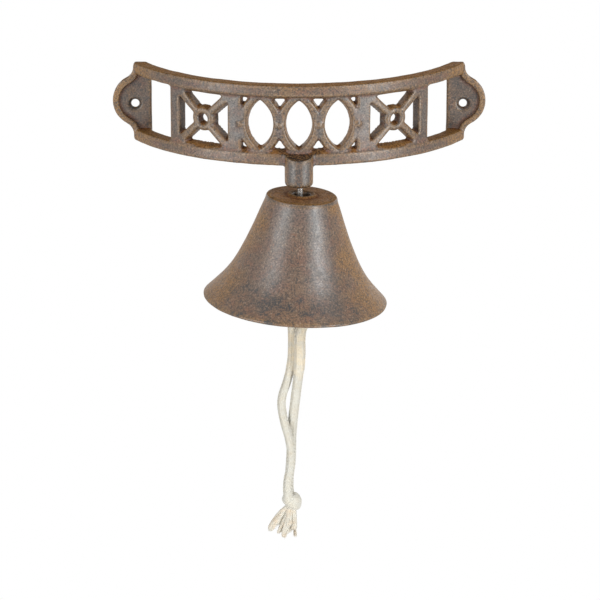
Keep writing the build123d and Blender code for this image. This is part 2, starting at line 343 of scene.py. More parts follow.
def curve_through(points: np.ndarray, spacing: float) -> np.ndarray:
    """A smooth line through points, evenly sampled: a cubic between each two, with shared tangents.

    Args:
        points: rows of coordinates.
        spacing: the distance between samples, in the unit of the points.

    Returns:
        The samples, ends included.
    """
    padded = np.vstack([2 * points[0] - points[1], points, 2 * points[-1] - points[-2]])
    p0, p1, p2, p3 = (padded[i : i + len(points) - 1, None, :] for i in range(4))
    t = np.linspace(0.0, 1.0, 24, endpoint=False)[None, :, None]
    fine = 0.5 * (2 * p1 + (p2 - p0) * t + (2 * p0 - 5 * p1 + 4 * p2 - p3) * t**2
                  + (3 * p1 - p0 - 3 * p2 + p3) * t**3)
    return resample(np.vstack([fine.reshape(-1, points.shape[1]), points[-1:]]), spacing)


def arc(middle: tuple[float, float], radius: float, start: float, end: float, count: int) -> np.ndarray:
    """Points on an arc, from one angle in degrees to another.

    Args:
        middle: the arc's middle.
        radius: its radius.
        start: the first point's angle.
        end: the last point's angle.
        count: how many points there are.

    Returns:
        Rows of two coordinates.
    """
    angles = np.radians(np.linspace(start, end, count))
    return np.stack([middle[0] + radius * np.cos(angles), middle[1] + radius * np.sin(angles)], axis=1)


def tube_frames(line: np.ndarray) -> tuple[np.ndarray, np.ndarray, np.ndarray]:
    """Directions along and across a line, that turn as little as they can from one station to the next.

    Args:
        line: rows of X, Y and Z.

    Returns:
        The direction along the line, and two across it, at each point.
    """
    along = np.gradient(line, axis=0)
    along /= np.linalg.norm(along, axis=1)[:, None]
    across = np.empty_like(along)
    first = np.cross(along[0], (0.0, 1.0, 0.0))
    if np.linalg.norm(first) < 0.1:
        first = np.cross(along[0], (1.0, 0.0, 0.0))
    across[0] = first / np.linalg.norm(first)
    for i in range(1, len(line)):
        turned = across[i - 1] - along[i] * np.dot(across[i - 1], along[i])
        across[i] = turned / np.linalg.norm(turned)
    return along, across, np.cross(along, across)


def round_ends(line: np.ndarray, radius: float) -> np.ndarray:
    """A factor for a tube's radius that closes both of its ends as half balls.

    Args:
        line: the tube's middle line.
        radius: the half balls' radius.

    Returns:
        One factor for each point.
    """
    steps = np.linalg.norm(np.diff(line, axis=0), axis=1)
    length = np.concatenate([[0.0], np.cumsum(steps)])
    near = np.clip(np.minimum(length, length[-1] - length) / radius, 0.0, 1.0)
    return np.sqrt(np.maximum(1.0 - (1.0 - near) ** 2, 0.003))


def sweep_tubes(lines: np.ndarray, wide: np.ndarray, thick: np.ndarray, outward: np.ndarray,
                sides: int) -> Shell:
    """Closed tubes of oval section along many lines at once.

    A ring's point is line + wide * cos(a) * across + thick * sin(a) * up, with a going round the section.

    Args:
        lines: tubes by points by X, Y and Z.
        wide: half the section's width at each point of each tube.
        thick: half its thickness there.
        outward: the direction of the thickness there.
        sides: how many points there are round the section.

    Returns:
        All the tubes as one shell.
    """
    tubes, steps, _ = lines.shape
    along = np.gradient(lines, axis=1)
    along /= np.linalg.norm(along, axis=2)[..., None]
    across = np.cross(along, outward)
    across /= np.linalg.norm(across, axis=2)[..., None]
    up = np.cross(across, along)
    turn = np.linspace(0.0, 2 * math.pi, sides, endpoint=False)
    rings = (lines[:, :, None, :]
             + (wide[..., None] * np.cos(turn))[..., None] * across[:, :, None, :]
             + (thick[..., None] * np.sin(turn))[..., None] * up[:, :, None, :])
    number = np.arange(tubes * steps * sides).reshape(tubes, steps, sides)
    here, there = number[:, :-1], number[:, 1:]
    quads = np.stack([here, np.roll(here, -1, axis=2), np.roll(there, -1, axis=2), there], axis=-1)
    return Shell(rings.reshape(-1, 3), quads.reshape(-1, 4)[:, ::-1], (number[:, 0], number[:, -1, ::-1]))


def joined(shells: list[Shell]) -> Shell:
    """Several shells as one.

    Args:
        shells: the shells.

    Returns:
        One shell with all of their points and faces.
    """
    points, quads, caps, start = [], [], [], 0
    for shell in shells:
        points.append(shell.points)
        quads.append(shell.quads + start)
        caps.extend(block + start for block in shell.caps)
        start += len(shell.points)
    return Shell(np.vstack(points), np.vstack(quads), tuple(caps))


@dataclass(frozen=True)
class Braid:
    """A round braided rope.

    Attributes:
        radius: the rope's radius where it hangs free.
        swell: how much thicker the rope is above the swell's height.
        foot: how much thicker the rope is just above the knot.
        carriers: how many strands turn each way.
        pitch: the length in which a strand goes once round.
        spacing: the distance between samples along it.
        breadth: how much wider than deep the rope lies.
        swell_at: the height under which there is no swell, and over which it is full.
        foot_at: the height under which the foot is full, and over which there is none of it.
        strand_thick: half a strand's thickness, as a share of the rope's radius.
        weave: how far a strand passes over or under the others, as a share of that radius.
        strand_wide: half a strand's width, as a share of its carrier's part of the half girth.
        core: the core's radius, as a share of the rope's.
    """

    radius: float
    swell: float
    foot: float
    carriers: int = 6
    pitch: float = 15.0
    spacing: float = 0.32
    breadth: float = 1.06
    swell_at: Span = (-156.5, -151.0)
    foot_at: Span = (-228.0, -216.0)
    strand_thick: float = 0.15
    weave: float = 0.075
    strand_wide: float = 0.58
    core: float = 0.85

    def along(self, line: np.ndarray) -> Shell:
        """The braid's strands and core along a line.

        A strand of carrier k is at radius r + w * cos(crossing) and turns by 2 pi * length / pitch, one
        way or the other; w is the height by which it passes over and under the strands it crosses.

        Args:
            line: rows of X, Y and Z.

        Returns:
            The rope's shell.
        """
        line = resample(line, self.spacing)
        _, across, over = tube_frames(line)
        across, over = across * self.breadth, over / self.breadth
        length = np.arange(len(line)) * self.spacing
        crossing = np.cos(math.pi * 2 * self.carriers * length / self.pitch)
        radius = self.radius + self.swell * smooth_step(line[:, 2], *self.swell_at)
        radius = radius + self.foot * (1.0 - smooth_step(line[:, 2], *self.foot_at))
        thick, weave = self.strand_thick * radius, self.weave * radius
        wide = math.pi * radius / self.carriers * self.strand_wide
        middle = radius - thick - weave
        carrier = np.arange(self.carriers)[None, :, None]
        way = np.array((1.0, -1.0))[:, None, None]
        start = 2 * math.pi * (carrier + 0.25 * (way - 1)) / self.carriers
        turn = way * 2 * math.pi * length / self.pitch + start
        out = np.cos(turn)[..., None] * across + np.sin(turn)[..., None] * over
        lines = (line + (middle + way * weave * crossing)[..., None] * out).reshape(-1, len(line), 3)
        shape = lines.shape[:2]
        wide, thick = np.broadcast_to(wide, shape), np.broadcast_to(thick, shape)
        strands = sweep_tubes(lines, wide, thick, out.reshape(lines.shape), 8)
        core_radius = self.core * radius[None, ::2]
        core = sweep_tubes(line[None, ::2], core_radius, core_radius, across[None, ::2], 12)
        return joined([strands, core])


@dataclass(frozen=True)
class Yarns:
    """A bundle of unlaid yarns at a rope's end.

    Attributes:
        start: where the yarns leave the knot.
        bend: a point that they pass near.
        end: the middle of their cut ends.
        start_radius: how far from the middle they start.
        end_radius: how far from the middle they end.
        count: how many there are.
        radius: the radius of one.
        twist: how far round the middle they turn on their way, in radians.
        step: the angle from one yarn to the next, in radians, which spreads them evenly over a disc.
        sway: how far round the middle a yarn wanders, in radians.
        cut: how much shorter than the longest yarn the shortest may be.
        taper: the share of its length in which a yarn narrows to its end.
        oval: a yarn's width and thickness, as shares of its size.
    """

    start: Triple
    bend: Triple
    end: Triple
    start_radius: float
    end_radius: float
    count: int
    radius: float
    twist: float = 0.9
    step: float = 2.4
    sway: float = 0.3
    cut: float = 0.14
    taper: float = 0.07
    oval: Span = (1.1, 0.85)

    def shell(self, rng: np.random.Generator, steps: int = 26, sides: int = 10) -> Shell:
        """The yarns as tubes about a quadratic curve, that wander a little and taper at their cut ends.

        Args:
            rng: the source of the yarns' differences.
            steps: points along each yarn.
            sides: points round each yarn.

        Returns:
            The bundle's shell.
        """
        each = (self.count, 1)
        t = np.linspace(0.0, 1.0, steps)
        start, bend, end = (np.array(point) for point in (self.start, self.bend, self.end))
        spine = ((1 - t) ** 2)[:, None] * start + (2 * t * (1 - t))[:, None] * bend + (t**2)[:, None] * end
        _, across, over = tube_frames(spine)
        order = np.arange(self.count)
        angle = self.step * order + rng.uniform(0, 2 * math.pi)
        reach = np.sqrt((order + 0.35) / self.count)
        radius = self.start_radius + (self.end_radius - self.start_radius) * t**0.8
        sway = self.sway * np.sin(2 * math.pi * (t * rng.uniform(0.7, 1.6, each) + rng.uniform(0, 1, each)))
        turn = angle[:, None] + self.twist * t + sway
        out = np.cos(turn)[..., None] * across + np.sin(turn)[..., None] * over
        lines = spine + (reach[:, None] * radius)[..., None] * out
        kept = 1.0 - self.cut * rng.uniform(0, 1, (*each, 1)) ** 1.5
        lines = lines[:, :1] + (lines - lines[:, :1]) * kept
        taper = np.clip((1.0 - t) / self.taper, 0.03, 1.0) ** 0.5 * (1.0 + 0.10 * np.sin(9.0 * t))
        size = self.radius * taper * rng.uniform(0.85, 1.15, each)
        return sweep_tubes(lines, self.oval[0] * size, self.oval[1] * size, out, sides)


class NodeKit:
    """A node tree that is filled with few words for each node."""

    def __init__(self, tree: bpy.types.NodeTree) -> None:
        """Empties the tree.

        Args:
            tree: the tree of a material or a world.
        """
        self.tree = tree
        tree.nodes.clear()

    def feed(self, socket: bpy.types.NodeSocket, value: bpy.types.NodeSocket | float | tuple) -> None:
        """Links a node's input to another socket, or sets it; three numbers become an opaque colour.

        Args:
            socket: the input.
            value: a socket or a constant.
        """
        if isinstance(value, bpy.types.NodeSocket):
            self.tree.links.new(value, socket)
        elif isinstance(value, tuple) and len(value) < len(socket.default_value):
            socket.default_value = (*value, 1.0)
        else:
            socket.default_value = value

    def add(self, kind: str, inputs: dict | None = None, **settings: str) -> bpy.types.Node:
        """Adds a node.

        Args:
            kind: its type, without the word that all shader nodes start with.
            inputs: for its inputs, by name or number, a socket or a constant.
            settings: its other properties.

        Returns:
            The node.
        """
        node = self.tree.nodes.new(f"ShaderNode{kind}")
        for name, value in settings.items():
            setattr(node, name, value)
        for key, value in (inputs or {}).items():
            self.feed(node.inputs[key], value)
        return node

    def math(self, operation: str, first: bpy.types.NodeSocket | float,
             second: bpy.types.NodeSocket | float) -> bpy.types.NodeSocket:
        """One sum on values; numbers are allowed for either."""
        return self.add("Math", {0: first, 1: second}, operation=operation).outputs["Value"]

    def seen_share(self) -> bpy.types.NodeSocket:
        """1 for rays of the camera, of reflections and through clear things, 0 for the rest."""
        path = self.add("LightPath")
        seen = path.outputs["Is Camera Ray"]
        for ray in ("Is Glossy Ray", "Is Transmission Ray"):
            seen = self.math("MAXIMUM", seen, path.outputs[ray])
        return seen


class Paint(NodeKit):
    """Builds one material, with one surface shader."""

    def __init__(self, name: str) -> None:
        """Starts the material.

        Args:
            name: the material's name.
        """
        self.material = bpy.data.materials.new(name)
        self.material.use_nodes = True
        super().__init__(self.material.node_tree)
        self.shader = self.add("BsdfPrincipled")
        self.add("OutputMaterial", {"Surface": self.shader.outputs["BSDF"]})
        self.place = self.add("TexCoord").outputs["Object"]

    def set(self, **values: bpy.types.NodeSocket | float) -> "Paint":
        """Sets or links the shader's own sockets.

        Args:
            values: socket names, with underscores for spaces, and a constant or a socket for each.

        Returns:
            This paint.
        """
        for name, value in values.items():
            self.feed(self.shader.inputs[name.replace("_", " ")], value)
        return self

    def noise(self, size: float, detail: float = 2.0, rough: float = 0.5,
              stretch: Triple = (1.0, 1.0, 1.0)) -> bpy.types.NodeSocket:
        """A noise value from 0 to 1 with features of a size in millimetres.

        Args:
            size: the features' size.
            detail: how many finer layers it has.
            rough: how strong the finer layers are.
            stretch: a factor on each coordinate.

        Returns:
            The value's socket.
        """
        place = self.place
        if stretch != (1.0, 1.0, 1.0):
            place = self.add("Mapping", {"Vector": place, "Scale": stretch}).outputs["Vector"]
        inputs = {"Vector": place, "Scale": 1.0 / (size * MM), "Detail": detail, "Roughness": rough}
        return self.add("TexNoise", inputs).outputs["Fac"]

    def ramp(self, value: bpy.types.NodeSocket, low: float, high: float, bottom: float = 0.0,
             top: float = 1.0) -> bpy.types.NodeSocket:
        """Stretches a value so that low to high becomes bottom to top, smoothly and no further."""
        inputs = {"Value": value, "From Min": low, "From Max": high, "To Min": bottom, "To Max": top}
        return self.add("MapRange", inputs, interpolation_type="SMOOTHSTEP").outputs["Result"]

    def mix(self, first: bpy.types.NodeSocket | Triple, second: bpy.types.NodeSocket | Triple,
            share: bpy.types.NodeSocket | float) -> bpy.types.NodeSocket:
        """A colour between two colours; the numbers are those of the mix node's colour sockets."""
        return self.add("Mix", {6: first, 7: second, 0: share}, data_type="RGBA").outputs[2]

    def layer(self, layer: Layer) -> tuple[bpy.types.NodeSocket, ...]:
        """The three channels of a stored colour layer."""
        stored = self.add("Attribute", attribute_name=layer.value).outputs["Color"]
        return tuple(self.add("SeparateColor", {"Color": stored}).outputs[:3])

    def height(self) -> bpy.types.NodeSocket:
        """The height above the wall screws, in metres, as a value."""
        return self.add("SeparateXYZ", {"Vector": self.place}).outputs["Z"]

    def bump(self, *steps: tuple[bpy.types.NodeSocket, float]) -> None:
        """Bumps the surface.

        Args:
            steps: pairs of a height value and its depth in millimetres.
        """
        normal = {}
        for value, depth in steps:
            node = self.add("Bump", {"Strength": 1.0, "Distance": depth * MM, "Height": value, **normal})
            normal = {"Normal": node.outputs["Normal"]}
        self.set(**normal)


class IronTone(Enum):
    """The colours that lie over a casting's brown ground."""

    RED_RUST = (0.150, 0.056, 0.026)
    # ochre rust, and painted flank shading where a casting turns away from the front
    OCHRE_RUST_AND_FLANK_SHADING = (0.250, 0.116, 0.016)
    # grey painted over the brown where the lamps' highlights and reflections fall: painted sheen
    PAINTED_SHEEN_GREY = (0.092, 0.092, 0.088)
    # tone of faces that face up: rust, and painted shading of the tops
    TOP_RUST_AND_SHADING = (0.225, 0.100, 0.024)
    HOLLOW_RUST = (0.140, 0.042, 0.014)
    EDGE_RUST = (0.215, 0.115, 0.034)
    DARK_GRAIN = (0.012, 0.009, 0.008)
    PALE_GRAIN = (0.330, 0.260, 0.200)
    ORANGE_FLECK = (0.240, 0.090, 0.040)
    DARK_FLECK = (0.016, 0.013, 0.012)
    # near black: soot, and painted shade in holes, recesses and between highlight bands
    SOOT_AND_SHADE = (0.014, 0.012, 0.011)


@dataclass(frozen=True)
class RustyIron:
    """Rust-brown cast iron with a grey sheen: red in hollows, ochre on proud edges, dark in pits.

    Attributes:
        name: the material's name.
        grains: how strong the dark grains are, from 0 to 1.
        sheen: how much of the light it mirrors at its surface.
        shine: its least and greatest roughness.
        brown: its darker and lighter ground colours.
        top_sheen: the sheen where it faces up.
        top_shine: the least and greatest roughness there.
        top_grains: how strong the grains are there, as a share of the rest's.
        top_brown: the ground colours there: rust, and painted shading of the tops.
    """

    name: str
    grains: float
    sheen: float = 0.8
    shine: Span = (0.34, 0.46)
    brown: tuple[Triple, Triple] = ((0.108, 0.063, 0.036), (0.148, 0.083, 0.043))
    top_sheen: float = 0.12
    top_shine: Span = (0.65, 0.85)
    top_grains: float = 0.6
    top_brown: tuple[Triple, Triple] = ((0.190, 0.095, 0.038), (0.275, 0.138, 0.050))

    def for_tops(self) -> "RustyIron":
        """The same iron where it faces up: matt, and browner; the browner colour is partly painted shading
        of the tops.
        """
        return replace(self, name=f"{self.name}_tops", sheen=self.top_sheen, shine=self.top_shine,
                       grains=self.top_grains * self.grains, brown=self.top_brown)

    def make(self) -> bpy.types.Material:
        """The material: a brown ground, then each tone over what is there already, by its share."""
        paint = Paint(self.name).set(Specular_IOR_Level=self.sheen, Metallic=0.0)
        proud, hollow, up = paint.layer(Layer.WEAR)
        ochre, soot_and_shade, painted_sheen = paint.layer(Layer.TINT)
        cloud = paint.ramp(paint.noise(26.0, 3.0), 0.36, 0.64)
        patch = paint.ramp(paint.noise(7.0, 4.0, 0.62), 0.42, 0.66)
        grain = paint.noise(1.05, 3.0, 0.7)
        fleck = paint.noise(2.2, 3.0, 0.68)
        top = paint.ramp(up, 0.60, 0.90)
        pits = paint.ramp(grain, 0.60, 0.42, 0.35, 1.0)
        colour = paint.mix(*self.brown, cloud)
        for tone, share in (
            (IronTone.RED_RUST, paint.math("MULTIPLY", patch, 0.55)),
            # ochre: rust patches and rims, and painted flank shading
            (IronTone.OCHRE_RUST_AND_FLANK_SHADING, ochre),
            # painted sheen: grey highlight and reflection bands from the tint layer
            (IronTone.PAINTED_SHEEN_GREY, painted_sheen),
            # faces that face up: rust, and painted shading of the tops
            (IronTone.TOP_RUST_AND_SHADING, paint.math("MULTIPLY", top, 0.5)),
            (IronTone.HOLLOW_RUST, paint.ramp(hollow, 0.10, 0.65, 0.0, 0.55)),
            (IronTone.EDGE_RUST, paint.ramp(proud, 0.12, 0.75, 0.0, 0.55)),
            (IronTone.DARK_GRAIN, paint.ramp(grain, 0.53, 0.39, 0.0, 0.5 + 0.35 * self.grains)),
            (IronTone.PALE_GRAIN, paint.ramp(grain, 0.57, 0.71, 0.0, 0.5 + 0.15 * self.grains)),
            (IronTone.ORANGE_FLECK, paint.ramp(fleck, 0.60, 0.72, 0.0, 0.4)),
            (IronTone.DARK_FLECK, paint.ramp(fleck, 0.40, 0.28, 0.0, self.grains)),
            # soot and painted shade, darkest in the grain's pits
            (IronTone.SOOT_AND_SHADE, paint.math("MULTIPLY", soot_and_shade, pits)),
        ):
            colour = paint.mix(colour, tone.value, share)
        shine = paint.ramp(paint.noise(3.2, 3.0), 0.3, 0.7, *self.shine)
        dull_ochre, dull_hollow = paint.math("MULTIPLY", ochre, 0.14), paint.math("MULTIPLY", hollow, 0.3)
        dull = paint.math("MAXIMUM", dull_ochre, dull_hollow)
        paint.set(Base_Color=colour, Roughness=paint.math("ADD", shine, dull))
        paint.bump((paint.noise(4.0, 3.0), 0.04), (grain, 0.08), (paint.noise(0.45, 2.0), 0.012))
        return paint.material


@dataclass(frozen=True)
class DrawnSteel:
    """Drawn steel wire with faint marks and a little rust bloom.

    Attributes:
        name: the material's name.
        tint: the clean steel's colour.
        rust: the bloom's colour.
        bloom: how much rust there is on it, from 0 to 1.
        shine: its least and greatest roughness.
    """

    name: str
    tint: Triple = (0.52, 0.51, 0.49)
    rust: Triple = (0.20, 0.13, 0.09)
    bloom: float = 0.6
    shine: Span = (0.22, 0.42)

    def make(self) -> bpy.types.Material:
        """The material."""
        paint = Paint(self.name).set(Metallic=0.9)
        rust = paint.ramp(paint.noise(2.4, 4.0, 0.65), 0.55, 0.75, 0.0, self.bloom)
        shine = paint.ramp(paint.noise(1.1, 3.0), 0.3, 0.7, *self.shine)
        paint.set(Base_Color=paint.mix(self.tint, self.rust, rust), Roughness=shine)
        paint.bump((paint.noise(0.35, 2.0, 0.6, (1.0, 1.0, 0.25)), 0.02))
        return paint.material


@dataclass(frozen=True)
class SoftCotton:
    """Unbleached cotton, with the bell's shadow painted on it as a warm tint near the bell.

    Attributes:
        name: the material's name.
        clean: its colour where it is clean.
        aged: its colour in its yellowed patches.
        fibre: the colour of its yellower fibres.
        speck: the colour of the dirt in it.
        bell_shadow_tint: the colour of the bell's painted shadow.
        bell_shadow_at: the height under which there is no painted shadow, and over which it is full, in
            metres.
    """

    name: str
    clean: Triple = (0.585, 0.572, 0.508)
    aged: Triple = (0.565, 0.53, 0.44)
    fibre: Triple = (0.62, 0.55, 0.42)
    speck: Triple = (0.40, 0.33, 0.25)
    bell_shadow_tint: Triple = (0.86, 0.72, 0.50)
    bell_shadow_at: Span = (-0.162, -0.150)

    def make(self) -> bpy.types.Material:
        """The material."""
        paint = Paint(self.name)
        paint.set(Roughness=0.9, Specular_IOR_Level=0.2, Sheen_Weight=0.5, Sheen_Roughness=0.6)
        shade = paint.ramp(paint.noise(4.5, 3.0, 0.6), 0.34, 0.68)
        colour = paint.mix(self.clean, self.aged, shade)
        fibre = paint.noise(0.24, 2.0, 0.6)
        colour = paint.mix(colour, self.fibre, paint.ramp(fibre, 0.62, 0.78, 0.0, 0.22))
        speck = paint.ramp(paint.noise(1.1, 2.0, 0.5), 0.61, 0.70, 0.0, 0.4)
        colour = paint.mix(colour, self.speck, speck)
        # the bell's shadow on the rope's top, painted as a warm tint
        bell_shadow_tint = paint.ramp(paint.height(), *self.bell_shadow_at)
        share = paint.math("MULTIPLY", bell_shadow_tint, paint.ramp(shade, 0.0, 1.0, 0.2, 0.55))
        paint.set(Base_Color=paint.mix(colour, self.bell_shadow_tint, share))
        paint.bump((fibre, 0.05), (paint.noise(0.6, 2.0), 0.04))
        return paint.material


def dress(obj: bpy.types.Object, body: Body, materials: list[bpy.types.Material], slot: str,
          *nodes: str) -> None:
    """Gives a piece its materials and its body, and hides the solids that it stands for.

    Args:
        obj: the piece.
        body: the body that it rides on.
        materials: its finishes, the main one first.
        slot: the record's material slot; not used.
        nodes: the solids that it replaces.
    """
    for material in materials:
        obj.data.materials.append(material)
    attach(obj, body.value)
    if nodes:
        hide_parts(*nodes)
    log.info("%s rides on %s with %d faces", obj.name, body.value, len(obj.data.polygons))


def finish_casting(mesh: bpy.types.Mesh, iron: RustyIron, is_top: np.ndarray) -> list[bpy.types.Material]:
    """Makes a casting's two finishes and gives the second one to the faces that face up.

    Args:
        mesh: the casting's mesh.
        iron: its finish.
        is_top: for each point, over 0.5 where it belongs to a top.

    Returns:
        The iron and its matt variant.
    """
    corners = read_rows(mesh.loops, "vertex_index", 1, int)[:, 0]
    totals = read_rows(mesh.polygons, "loop_total", 1, int)[:, 0]
    starts = np.concatenate([[0], np.cumsum(totals)[:-1]])
    share = np.add.reduceat(is_top[corners], starts) / totals
    mesh.polygons.foreach_set("material_index", (share > 0.5).astype(int))
    return [iron.make(), iron.for_tops().make()]


@dataclass
class WallBracket:
    """The casting that is screwed to the wall: two ears, a bowed openwork band and a post.

    Attributes:
        relief: the noise of its skin and its patches.
        voxel: the size of its faces.
        rounds: how soft its edges are.
        brown: its darker and lighter ground colours.
        skin: pairs of wavelength and height that make its cast surface.
        wear: how far its evened copy is spread, and the height over it that counts as fully proud.
        tops: how far up a surface looks where it begins to be a top, and is one in full.
        patches: the sizes of the patches and of the specks in its finish.
        hole_x: how far the screw holes are from the middle.
        sink_ring: the radii between which the dark ring round a screw hole ends.
        ear_starts: how far from the middle the ears begin, and are there in full.
        rim_starts: how far from the wall an ear's rim begins to stand over its field, and stands in full.
        post_axis: X and Y of the post's axis.
        post_starts: how far below the screws the post begins, and is there in full.
        post_radius: a radius that holds the post.
        shoulder_radius: a radius that holds the step from the band to the post.
        shoulder_height: the height under which that step is.
        openwork_half: half the openwork's width.
        openwork_foot: the heights between which its front begins.
        openwork_head: the height at which its front ends.
    """

    relief: Relief
    voxel: float = 0.68
    rounds: int = 1
    brown: tuple[Triple, Triple] = ((0.092, 0.058, 0.036), (0.128, 0.076, 0.042))
    skin: tuple[Span, ...] = ((9.0, 0.13), (3.2, 0.05))
    wear: tuple[int, float] = (26, 0.4)
    tops: Span = (0.55, 0.95)
    patches: Span = (8.0, 3.1)
    hole_x: float = 101.5
    sink_ring: Span = (3.6, 5.4)
    ear_starts: Span = (88.0, 94.0)
    rim_starts: Span = (3.9, 4.9)
    post_axis: Span = (0.6, -63.6)
    post_starts: Span = (15.0, 17.5)
    post_radius: float = 9.6
    shoulder_radius: float = 13.0
    shoulder_height: float = -5.0
    openwork_half: float = 80.0
    openwork_foot: Span = (-11.0, -8.0)
    openwork_head: float = 20.0

    def build(self, nodes: dict) -> bpy.types.Object:
        """Makes the casting around its solid.

        Args:
            nodes: the frame's solids by name.

        Returns:
            The piece.
        """
        casting = soft_copy(nodes["bracket"], "bracket_casting", self.voxel * coarseness(), self.rounds)
        roughen(casting.data, self.relief, self.skin)
        mark_wear(casting.data, *self.wear)
        self.tint(casting.data)
        tops = smooth_step(mesh_normals(casting.data)[:, 2], *self.tops)
        finishes = finish_casting(casting.data, RustyIron("bracket_iron", 0.95, brown=self.brown), tops)
        dress(casting, Body.WALL_BRACKET, finishes, "bracket", "bracket")
        return casting

    def tint(self, mesh: bpy.types.Mesh) -> None:
        """Stores where the casting is ochre, dark and painted grey.

        Ochre lies on the ears' rims and in patches, and on the openings' walls and the post's edges, where
        it is partly painted shading of faces turned away from the front. Soot lies in speckles, dark rings
        round the screw holes and darker tone on the ears' fields; on the shoulder and down the post's middle
        the dark is painted shade. Painted highlight bands of grey lie on the post's flanks, and painted
        sheen on the openwork's front. A share is the product of the steps that limit its place.

        Args:
            mesh: the casting's mesh.
        """
        points = mesh_points(mesh)
        normals = mesh_normals(mesh)
        side, front, up = normals[:, 0], -normals[:, 1], normals[:, 2]
        from_middle, from_wall, height = np.abs(points[:, 0]), -points[:, 1], points[:, 2]
        patch = self.relief.sample(points, self.patches[0])
        fine = self.relief.sample(points + 40.0, self.patches[1])

        on_ear = smooth_step(from_middle, *self.ear_starts)
        on_rim = smooth_step(from_wall, *self.rim_starts)
        from_hole = np.hypot(from_middle - self.hole_x, height)
        ring = 1.0 - smooth_step(from_hole, *self.sink_ring)
        from_post = np.hypot(points[:, 0] - self.post_axis[0], points[:, 1] - self.post_axis[1])
        on_post = smooth_step(-height, *self.post_starts) * (from_post < self.post_radius)
        shoulder = (from_post < self.shoulder_radius) * (height < self.shoulder_height)
        shoulder = shoulder * smooth_step(up, 0.4, 0.8)
        openwork = smooth_step(self.openwork_half - from_middle, 0.0, 4.0)
        openwork *= smooth_step(height, *self.openwork_foot)
        openwork *= smooth_step(self.openwork_head - height, 0.0, 3.0) * smooth_step(front, 0.5, 0.85)

        # the first term is painted flank shading, ochre where faces turn away from the front; the patch term
        # is rust
        ochre = 0.7 * smooth_step(0.75 - np.abs(front), 0.0, 0.5) + 0.3 * smooth_step(patch, 0.2, 0.8)
        ochre += 0.5 * on_ear * on_rim
        ochre *= 1.0 - 0.6 * smooth_step(up, 0.5, 0.9)
        # the post keeps ochre only at its edges: painted shading of its flanks
        ochre *= 1.0 - on_post * (1.0 - smooth_step(np.abs(side), 0.72, 0.85))

        field = on_ear * (1.0 - on_rim)
        soot_and_shade = 0.55 * ring + field * (0.3 + 0.3 * smooth_step(fine + 0.5 * patch, -0.3, 0.6))
        # speckled soot, and painted shade in the recess of the shoulder
        soot_and_shade += 0.35 * smooth_step(fine, 0.35, 0.8) + 0.5 * shoulder
        # a dark band down the post's middle, between its highlights: painted shade
        soot_and_shade += 1.1 * on_post * hump(side, -0.04, 0.2)

        # grey on the post's flanks and the openwork's front: painted highlight bands and painted sheen
        flanks = smooth_step(np.abs(side), 0.15, 0.3) * (1.0 - smooth_step(np.abs(side), 0.66, 0.8))
        painted_sheen = 0.85 * on_post * flanks
        painted_sheen += openwork * (0.35 + 0.35 * smooth_step(fine + patch, -0.5, 0.6))
        store_layer(mesh, Layer.TINT, [ochre, soot_and_shade, painted_sheen])


